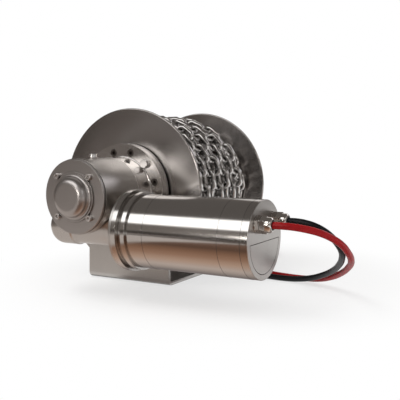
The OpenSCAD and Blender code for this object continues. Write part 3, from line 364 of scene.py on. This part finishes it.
def soft_lamp(name, place, target, width, height, watts):
    lamp_data = bpy.data.lights.new(name, "AREA")
    lamp_data.shape = "RECTANGLE"
    lamp_data.size = width
    lamp_data.size_y = height
    lamp_data.energy = watts
    lamp = bpy.data.objects.new(name, lamp_data)
    lamp.visible_glossy = False
    scene.collection.objects.link(lamp)
    turn = (Vector(target) - Vector(place)).to_track_quat("-Z", "Y")
    lamp.matrix_world = Matrix.Translation(place) @ turn.to_matrix().to_4x4()


soft_lamp("lamp_above", (-0.45, -0.42, 1.3), (0.15, -0.1, 0.1), 1.2, 0.5, 10)
soft_lamp("lamp_right", (1.9, -0.5, 1.1), (0.1, 0, 0.15), 0.7, 0.7, 5)


# ---- Cradle ----
# One 6 mm stainless plate, laser cut, bent up at both ends and bead blasted to a pale satin.
# The steel finish is first made here: tool marks, faint stains, soft edges, and painted shade that
# darkens the colour where faces meet in a hollow.
def steel_marks_and_shade_group():
    group = bpy.data.node_groups.new("steel_marks_and_shade", "ShaderNodeTree")
    for name, kind, way in (
        ("Vector", "Vector", "INPUT"), ("Light", "Color", "INPUT"), ("Dark", "Color", "INPUT"),
        ("Smooth", "Float", "INPUT"), ("Rough", "Float", "INPUT"), ("Marks", "Float", "INPUT"),
        ("Edge", "Float", "INPUT"), ("Corner shade", "Float", "INPUT"), ("Color", "Color", "OUTPUT"),
        ("Roughness", "Float", "OUTPUT"), ("Normal", "Vector", "OUTPUT"),
    ):
        group.interface.new_socket(name=name, in_out=way, socket_type="NodeSocket" + kind)
    g, link = group.nodes, group.links
    given, result = g.new("NodeGroupInput"), g.new("NodeGroupOutput")
    lines = g.new("ShaderNodeTexNoise")
    lines.inputs["Scale"].default_value = 1
    lines.inputs["Detail"].default_value = 3
    link.new(given.outputs["Vector"], lines.inputs["Vector"])
    place = g.new("ShaderNodeTexCoord")
    stains = g.new("ShaderNodeTexNoise")
    stains.inputs["Scale"].default_value = 9
    stains.inputs["Detail"].default_value = 3
    link.new(place.outputs["Object"], stains.inputs["Vector"])
    part = g.new("ShaderNodeMath")
    part.operation = "MULTIPLY"
    part.inputs[1].default_value = 0.45
    link.new(lines.outputs["Fac"], part.inputs[0])
    both = g.new("ShaderNodeMath")
    both.operation = "MULTIPLY_ADD"
    both.inputs[1].default_value = 0.55
    link.new(stains.outputs["Fac"], both.inputs[0])
    link.new(part.outputs[0], both.inputs[2])
    spread = g.new("ShaderNodeMapRange")
    spread.inputs["From Min"].default_value = 0.3
    spread.inputs["From Max"].default_value = 0.7
    link.new(both.outputs[0], spread.inputs["Value"])

    def mixed(factor, first, second):
        mix = g.new("ShaderNodeMix")
        mix.data_type = "RGBA"
        link.new(factor, mix.inputs["Factor"])
        a, b = [socket for socket in mix.inputs if socket.type == "RGBA"]
        for source, socket in ((first, a), (second, b)):
            if isinstance(source, tuple):
                socket.default_value = source
            else:
                link.new(source, socket)
        return [socket for socket in mix.outputs if socket.type == "RGBA"][0]

    tone = mixed(spread.outputs["Result"], given.outputs["Light"], given.outputs["Dark"])
    # Painted shade: an ambient occlusion pass mixes the colour towards near black in hollows and
    # inner angles.
    corner_shade = g.new("ShaderNodeAmbientOcclusion")
    corner_shade.samples = 6
    link.new(given.outputs["Corner shade"], corner_shade.inputs["Distance"])
    shade = g.new("ShaderNodeMapRange")
    shade.inputs["From Min"].default_value = 0.2
    shade.inputs["From Max"].default_value = 0.75
    link.new(corner_shade.outputs["AO"], shade.inputs["Value"])
    # The near-black brown here is the colour of the painted shade.
    link.new(mixed(shade.outputs["Result"], (0.05, 0.04, 0.035, 1), tone), result.inputs["Color"])
    gloss = g.new("ShaderNodeMapRange")
    link.new(spread.outputs["Result"], gloss.inputs["Value"])
    link.new(given.outputs["Smooth"], gloss.inputs["To Min"])
    link.new(given.outputs["Rough"], gloss.inputs["To Max"])
    link.new(gloss.outputs["Result"], result.inputs["Roughness"])
    edge = g.new("ShaderNodeBevel")
    edge.samples = 4
    link.new(given.outputs["Edge"], edge.inputs["Radius"])
    relief = g.new("ShaderNodeBump")
    relief.inputs["Distance"].default_value = 0.0002
    link.new(given.outputs["Marks"], relief.inputs["Strength"])
    link.new(lines.outputs["Fac"], relief.inputs["Height"])
    link.new(edge.outputs["Normal"], relief.inputs["Normal"])
    link.new(relief.outputs["Normal"], result.inputs["Normal"])
    return group


steel_marks_and_shade = steel_marks_and_shade_group()


def steel(name, light, dark, smooth, rough, marks=0.15, edge=0.0005, grain=(900, 900, 900),
          centre=(0, 0, 0), turned=None, aniso=0, corner_shade=0.006, swirl=None):
    """A steel finish. grain is lines per metre along each axis; turned names a lathe axis. swirl
    is how far the polishing lines lean off the circle, as two (radius, slope)."""
    material, n, link = new_material(name)
    shader = n["Principled BSDF"]
    shader.inputs["Metallic"].default_value = 1
    shader.inputs["Anisotropic"].default_value = aniso
    shader.inputs["Anisotropic Rotation"].default_value = 0.25
    place = n.new("ShaderNodeTexCoord")
    shift = n.new("ShaderNodeMapping")
    shift.vector_type = "TEXTURE"
    shift.inputs["Location"].default_value = centre
    link.new(place.outputs["Object"], shift.inputs["Vector"])
    pattern = shift.outputs["Vector"]
    if turned:
        parts = n.new("ShaderNodeSeparateXYZ")
        link.new(pattern, parts.inputs[0])
        flat = n.new("ShaderNodeCombineXYZ")
        for axis in "XYZ":
            if axis != turned:
                link.new(parts.outputs[axis], flat.inputs[axis])
        radius = n.new("ShaderNodeVectorMath")
        radius.operation = "LENGTH"
        link.new(flat.outputs[0], radius.inputs[0])
        rings = n.new("ShaderNodeCombineXYZ")
        link.new(radius.outputs["Value"], rings.inputs["X"])
        link.new(parts.outputs[turned], rings.inputs["Y"])
        pattern = rings.outputs[0]
    scale = n.new("ShaderNodeVectorMath")
    scale.operation = "MULTIPLY"
    scale.inputs[1].default_value = grain
    link.new(pattern, scale.inputs[0])
    marks_and_shade_node = n.new("ShaderNodeGroup")
    marks_and_shade_node.node_tree = steel_marks_and_shade
    marks_and_shade_node.inputs["Light"].default_value = (*light, 1)
    marks_and_shade_node.inputs["Dark"].default_value = (*dark, 1)
    marks_and_shade_node.inputs["Smooth"].default_value = smooth
    marks_and_shade_node.inputs["Rough"].default_value = rough
    marks_and_shade_node.inputs["Marks"].default_value = marks
    marks_and_shade_node.inputs["Edge"].default_value = edge
    # How far the painted shade in hollows reaches.
    marks_and_shade_node.inputs["Corner shade"].default_value = corner_shade
    link.new(scale.outputs[0], marks_and_shade_node.inputs["Vector"])
    link.new(marks_and_shade_node.outputs["Color"], shader.inputs["Base Color"])
    link.new(marks_and_shade_node.outputs["Roughness"], shader.inputs["Roughness"])
    link.new(marks_and_shade_node.outputs["Normal"], shader.inputs["Normal"])
    if aniso:
        along = n.new("ShaderNodeVectorMath")
        along.operation = "CROSS_PRODUCT"
        along.inputs[1].default_value = [float(axis == turned) for axis in "XYZ"]
        link.new(shift.outputs["Vector"], along.inputs[0])
        grooves = along.outputs[0]
        if swirl:
            slope = n.new("ShaderNodeMapRange")
            for end, (at_radius, lean) in zip(("Min", "Max"), swirl):
                slope.inputs["From " + end].default_value = at_radius
                slope.inputs["To " + end].default_value = lean
            link.new(radius.outputs["Value"], slope.inputs["Value"])
            leaning = n.new("ShaderNodeVectorMath")
            leaning.operation = "MULTIPLY_ADD"
            link.new(flat.outputs[0], leaning.inputs[0])
            link.new(slope.outputs["Result"], leaning.inputs[1])
            link.new(grooves, leaning.inputs[2])
            grooves = leaning.outputs[0]
        turn = n.new("ShaderNodeVectorTransform")
        turn.vector_type = "VECTOR"
        turn.convert_from = "OBJECT"
        turn.convert_to = "WORLD"
        link.new(grooves, turn.inputs[0])
        link.new(turn.outputs[0], shader.inputs["Tangent"])
    return material


def finish(material, *names):
    for name in names:
        mesh = nodes[name].data
        mesh.materials.clear()
        mesh.materials.append(material)


finish(steel("cradle_satin", (0.6, 0.585, 0.565), (0.53, 0.51, 0.485), 0.34, 0.44, 0.1), "cradle")


# ---- Bearing neck ----
# The ring and neck are turned from one bar and polished, with a fillet between them; the shaft
# bearings sit inside. Socket screws and one hexagon bolt hold the ring to the upright.
DRUM = (0, 0, 0.1595)
NECK_ROOT_Y = -0.1485
NECK_ROOT_R = 0.0598
NECK_FILLET_R = 0.0019
NECK_FILLET_FLAT = 0.0004


def pick(obj, keep):
    """Select the vertices of an object that keep() says, and stay in edit mode."""
    bpy.ops.object.mode_set(mode="EDIT")
    bpy.ops.mesh.select_mode(type="VERT")
    bpy.ops.mesh.select_all(action="DESELECT")
    bpy.ops.object.mode_set(mode="OBJECT")
    for vertex in obj.data.vertices:
        vertex.select = keep(vertex.co)
    bpy.ops.object.mode_set(mode="EDIT")


finish(
    steel("neck_polished", (0.75, 0.72, 0.695), (0.67, 0.64, 0.615), 0.13, 0.21, 0.08,
          grain=(700, 500, 0), centre=DRUM, turned="Y", aniso=0.7, corner_shade=0.003),
    "bearing_neck", "far_bearing_housing",
)
bpy.ops.object.select_all(action="DESELECT")
bpy.ops.mesh.primitive_torus_add(
    major_segments=96, minor_segments=8, major_radius=NECK_ROOT_R, minor_radius=NECK_FILLET_R,
    location=(0, NECK_ROOT_Y, DRUM[2]), rotation=(math.radians(90), 0, 0),
)
root_fillet = bpy.context.object
root_fillet.name = "neck_root_fillet"
bpy.ops.object.transform_apply(location=True, rotation=True, scale=True)
pick(root_fillet, lambda co: co.y < NECK_ROOT_Y - NECK_FILLET_R / 2)
bpy.ops.transform.translate(value=(0, NECK_FILLET_FLAT, 0))
bpy.ops.object.mode_set(mode="OBJECT")
bpy.ops.object.shade_smooth()
root_fillet.data.materials.append(nodes["bearing_neck"].data.materials[0])
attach(root_fillet, "frame")
finish(
    steel("screw_polished", (0.8, 0.78, 0.76), (0.72, 0.69, 0.67), 0.22, 0.34, 0.1, edge=0.001,
          corner_shade=0.0015),
    "ring_hex_bolt", "neck_screws", "filler_plug", "cover_screws", "far_housing_screws",
    "adapter_screws", "shaft_bearing_balls", "worm_bearing_balls",
)
# The ring screws get a much darker steel colour: painted shade.
finish(
    steel("screw_in_shade", (0.2, 0.18, 0.165), (0.12, 0.105, 0.095), 0.25, 0.4, 0.1, edge=0),
    "ring_screws",
)


# ---- Gear housing ----
# A stainless casting, machined and then blasted, closed by a turned cover with a pressed dome
# over a thin gasket. The tail boss runs into the worm tube in a soft cast step of three rings:
# how far each goes along the tube, and the share of the radius that it keeps.
MOTOR = (0, -0.2265, 0.1075)
TAIL_BLEND_X = -0.0272
TAIL_BLEND_R = 0.0309
TAIL_BLEND_STEPS = ((0.0015, 0.962), (0.0025, 0.975), (0.004, 0.986))
finish(
    steel("housing_blasted", (0.62, 0.595, 0.57), (0.54, 0.515, 0.49), 0.24, 0.33, 0.15,
          corner_shade=0.003),
    "gear_housing",
)
finish(
    steel("cover_turned", (0.5, 0.475, 0.46), (0.44, 0.415, 0.4), 0.28, 0.4, 0.1,
          grain=(1500, 300, 0), centre=DRUM, turned="Y"),
    "gearbox_cover",
)
bpy.ops.object.select_all(action="DESELECT")
bpy.ops.mesh.primitive_circle_add(
    vertices=64, radius=TAIL_BLEND_R, fill_type="NGON",
    location=(TAIL_BLEND_X, MOTOR[1], MOTOR[2]), rotation=(0, math.radians(90), 0),
)
tail_blend = bpy.context.object
tail_blend.name = "tail_boss_blend"
bpy.ops.object.transform_apply(location=True, rotation=True, scale=True)
bpy.ops.object.mode_set(mode="EDIT")
for step, share in TAIL_BLEND_STEPS:
    bpy.ops.mesh.extrude_region_move(TRANSFORM_OT_translate={"value": (step, 0, 0)})
    bpy.ops.transform.resize(value=(1, share, share), center_override=MOTOR)
bpy.ops.mesh.select_all(action="SELECT")
bpy.ops.mesh.normals_make_consistent(inside=False)
bpy.ops.object.mode_set(mode="OBJECT")
bpy.ops.object.shade_smooth_by_angle(angle=math.radians(40))
tail_blend.data.materials.append(nodes["gear_housing"].data.materials[0])
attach(tail_blend, "frame")


# ---- Drum ----
# Two turned and polished flanges stand at the ends of the barrel. Their fine lines lean off the
# circle, one way near the hub and the other way near the rim, and so spread a reflection into a
# curved fan.
finish(
    steel("flange_turned", (0.52, 0.495, 0.48), (0.46, 0.435, 0.42), 0.17, 0.21, 0.05,
          grain=(1500, 0, 0), centre=DRUM, turned="Y", aniso=0.92,
          swirl=((0.08, 0.4), (0.13, -0.38))),
    "near_flange", "far_flange",
)


# ---- Chain ----
# 8 mm stainless chain, welded and polished. One link lies flat and the next stands on edge; three
# layers are wound on the barrel, and the top one is unfinished, so the layer below shows.
WIRE = 0.008
LINK_W = 0.027
LINK_PITCH = 0.0248
LINK_PLAY = 0.0004
LINK_LEAN = math.radians(12)
LINK_SWING = math.radians(3)
CHAIN_LEAD = 0.0252
FIRST_TURN = -0.1079
OPEN_TURN = 0.07514
crown_r = (LINK_W - WIRE) / 2
crown_x = LINK_PITCH / 2 - crown_r + WIRE / 2

bpy.ops.object.select_all(action="DESELECT")
bpy.ops.mesh.primitive_torus_add(
    major_segments=12, minor_segments=6, major_radius=crown_r, minor_radius=WIRE / 2,
    rotation=(0, 0, math.radians(15)),
)
chain_link = bpy.context.object
bpy.ops.object.transform_apply(location=True, rotation=True, scale=True)
for end in (1, -1):
    pick(chain_link, lambda co: co.x * end > 0)
    bpy.ops.transform.translate(value=(end * crown_x, 0, 0))
    bpy.ops.object.mode_set(mode="OBJECT")
bpy.ops.object.shade_smooth()
chain_link.data.materials.append(steel(
    "chain_polished", (0.64, 0.625, 0.61), (0.56, 0.54, 0.52), 0.1, 0.2, 0.1, edge=0,
))


def chain_layer(name, per_turn, first_y, links, hides):
    """Links along a helix from first_y on, each a little askew, in place of the node in hides."""
    step = 2 * math.pi / per_turn
    r = (LINK_PITCH - LINK_PLAY) / (2 * math.sin(step / 2))
    nest = (crown_x + crown_r) * math.tan(step / 2) / 4
    tilt = math.atan(CHAIN_LEAD / (2 * math.pi * r))
    bpy.ops.object.select_all(action="DESELECT")
    for i in range(links):
        copy = chain_link.copy()
        copy.data = chain_link.data.copy()
        scene.collection.objects.link(copy)
        on_edge = i % 2
        lean = LINK_LEAN * math.sin(2.4 * i + per_turn)
        swing = LINK_SWING * math.sin(5.1 * i)
        copy.matrix_world = (
            Matrix.Translation((0, first_y + i * CHAIN_LEAD / per_turn, DRUM[2]))
            @ Matrix.Rotation(i * step, 4, "Y")
            @ Matrix.Translation((0, 0, r + (nest if on_edge else -nest)))
            @ Matrix.Rotation(tilt + swing, 4, "Z")
            @ Matrix.Rotation(on_edge * math.pi / 2 + lean, 4, "X")
        )
        copy.select_set(True)
        bpy.context.view_layer.objects.active = copy
    bpy.ops.object.join()
    bpy.ops.object.transform_apply(location=True, rotation=True, scale=True)
    layer = bpy.context.object
    layer.name = name
    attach(layer, "drum")
    if hides:
        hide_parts(hides)


chain_layer("chain_top_layer", 31, FIRST_TURN, 203, "chain_top_turn")
chain_layer("chain_middle_layer", 25, OPEN_TURN, 33, "chain_open_turns")
chain_layer("chain_covered_layer", 25, FIRST_TURN, 177, "chain_lower_turns")
chain_layer("chain_first_layer", 19, FIRST_TURN, 163, None)
bpy.data.objects.remove(chain_link)


# ---- Motor ----
# A polished tube between two bells, all turned to one diameter, with a hairline where they meet.
# A fine black line is engraved round the lower half of the end face.
MOTOR_R = 0.05715
MOTOR_END = 0.3047
FACE_DEPTH = 0.0009
SEAM_R = 0.0002
BORDER_R = 0.04855
BORDER_WIRE = 0.00042
BORDER_SUNK = 0.0004
BORDER_STEPS = 48
CHORD_Z = -0.00195
finish(
    steel("motor_polished", (0.64, 0.62, 0.6), (0.58, 0.555, 0.53), 0.1, 0.2, 0.08,
          grain=(0, 1400, 0), centre=MOTOR, turned="X", aniso=0.4, corner_shade=0.003),
    "motor_tube", "motor_front_bell", "motor_rear_bell", "motor_adapter",
)
end_cap_steel = steel(
    "end_cap_turned", (0.6, 0.58, 0.56), (0.54, 0.515, 0.49), 0.1, 0.2, 0.08,
    grain=(1500, 1400, 0), centre=MOTOR, turned="X", aniso=0.4, corner_shade=0.003,
)
# Only the flat end is duller than the turned side of the cap.
n, link = end_cap_steel.node_tree.nodes, end_cap_steel.node_tree.links
place = n.new("ShaderNodeTexCoord")
axes = n.new("ShaderNodeSeparateXYZ")
link.new(place.outputs["Object"], axes.inputs[0])
on_face = n.new("ShaderNodeMath")
on_face.operation = "GREATER_THAN"
on_face.inputs[1].default_value = MOTOR_END - FACE_DEPTH
link.new(axes.outputs["X"], on_face.inputs[0])
duller = n.new("ShaderNodeMath")
duller.operation = "MULTIPLY_ADD"
duller.inputs[1].default_value = 0.2
link.new(on_face.outputs[0], duller.inputs[0])
link.new(n["Group"].outputs["Roughness"], duller.inputs[2])
link.new(duller.outputs[0], n["Principled BSDF"].inputs["Roughness"])
finish(end_cap_steel, "motor_end_cap")


def soft_black(name, colour, rough):
    material, n, link = new_material(name)
    shader = n["Principled BSDF"]
    place = n.new("ShaderNodeTexCoord")
    grain = n.new("ShaderNodeTexNoise")
    grain.inputs["Scale"].default_value = 260
    link.new(place.outputs["Object"], grain.inputs["Vector"])
    tint = n.new("ShaderNodeValToRGB")
    tint.color_ramp.elements[0].color = (*[c * 0.6 for c in colour], 1)
    tint.color_ramp.elements[1].color = (*[c * 1.5 for c in colour], 1)
    link.new(grain.outputs["Fac"], tint.inputs["Fac"])
    link.new(tint.outputs["Color"], shader.inputs["Base Color"])
    shader.inputs["Roughness"].default_value = rough
    return material


seam_black = soft_black("seam_black", (0.025, 0.02, 0.018), 0.6)
for name, x in (("front_seam", 0.1336), ("rear_seam", 0.2577), ("cap_seam", 0.2927)):
    bpy.ops.object.select_all(action="DESELECT")
    bpy.ops.mesh.primitive_torus_add(
        major_segments=96, minor_segments=6, major_radius=MOTOR_R, minor_radius=SEAM_R,
        location=(x, MOTOR[1], MOTOR[2]), rotation=(0, math.radians(90), 0),
    )
    seam = bpy.context.object
    seam.name = name
    bpy.ops.object.transform_apply(location=True, rotation=True, scale=True)
    pick(seam, lambda co: co.x > x + SEAM_R / 2)
    bpy.ops.transform.translate(value=(SEAM_R / 2, 0, 0))
    bpy.ops.object.mode_set(mode="OBJECT")
    bpy.ops.object.shade_smooth()
    seam.data.materials.append(seam_black)
    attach(seam, "frame")

chord_end = math.asin(-CHORD_Z / BORDER_R)
outline = []
for i in range(BORDER_STEPS + 1):
    a = chord_end + (math.pi - 2 * chord_end) * i / BORDER_STEPS
    outline.append((
        MOTOR_END - BORDER_SUNK,
        MOTOR[1] + BORDER_R * math.cos(a),
        MOTOR[2] - BORDER_R * math.sin(a),
    ))
border = bpy.data.curves.new("name_place_border", "CURVE")
border.dimensions = "3D"
border.bevel_depth = BORDER_WIRE
border.bevel_resolution = 1
line = border.splines.new("POLY")
line.points.add(len(outline) - 1)
for knot, point in zip(line.points, outline):
    knot.co = (*point, 1)
line.use_cyclic_u = True
border.materials.append(seam_black)
name_place = bpy.data.objects.new("name_place_border", border)
scene.collection.objects.link(name_place)
bpy.ops.object.select_all(action="DESELECT")
name_place.select_set(True)
bpy.context.view_layer.objects.active = name_place
bpy.ops.object.convert(target="MESH")
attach(name_place, "frame")


# ---- Cable glands and lugs ----
# Nickel plated brass glands with rubber seals at the end face, and crimped tinned lugs at the far
# ends of the cables.
finish(
    steel("gland_nickel", (0.74, 0.71, 0.67), (0.66, 0.62, 0.58), 0.05, 0.11, 0.03,
          corner_shade=0.002),
    "gland_bodies", "gland_nuts", "red_lug", "black_lug",
)
finish(
    soft_black("black_rubber", (0.02, 0.02, 0.02), 0.55), "gland_seals", "shaft_seal", "worm_seal",
)


# ---- Inside ----
# Drum, gears, shafts, bearings and the motor's inner pieces. They only show when the winch is
# taken apart: machined steel, bronze, copper, carbon and board.
finish(
    steel("inner_steel", (0.5, 0.5, 0.5), (0.4, 0.4, 0.4), 0.25, 0.4, 0.1),
    "wheel_key", "wheel_nut", "drum_shaft", "shaft_bearing_outers", "shaft_bearing_inners",
    "drum_barrel", "drum_hubs", "drum_keys", "worm", "worm_bearing_outers",
    "worm_bearing_inners", "shaft_coupling", "motor_shaft", "motor_bearings", "through_bolts",
    "motor_magnets", "armature_core", "chain_lower_turns", "chain_open_turns", "chain_top_turn",
)
finish(
    steel("bronze_turned", (0.62, 0.4, 0.16), (0.5, 0.3, 0.1), 0.25, 0.4, 0.1),
    "worm_wheel", "far_bush",
)
finish(
    steel("copper_bare", (0.68, 0.33, 0.18), (0.5, 0.2, 0.1), 0.25, 0.4, 0.1),
    "armature_windings", "commutator",
)
finish(soft_black("gasket_fibre", (0.03, 0.028, 0.025), 0.8), "cover_gasket", "brushes")
finish(soft_black("phenolic_board", (0.3, 0.15, 0.06), 0.5), "brush_holder")
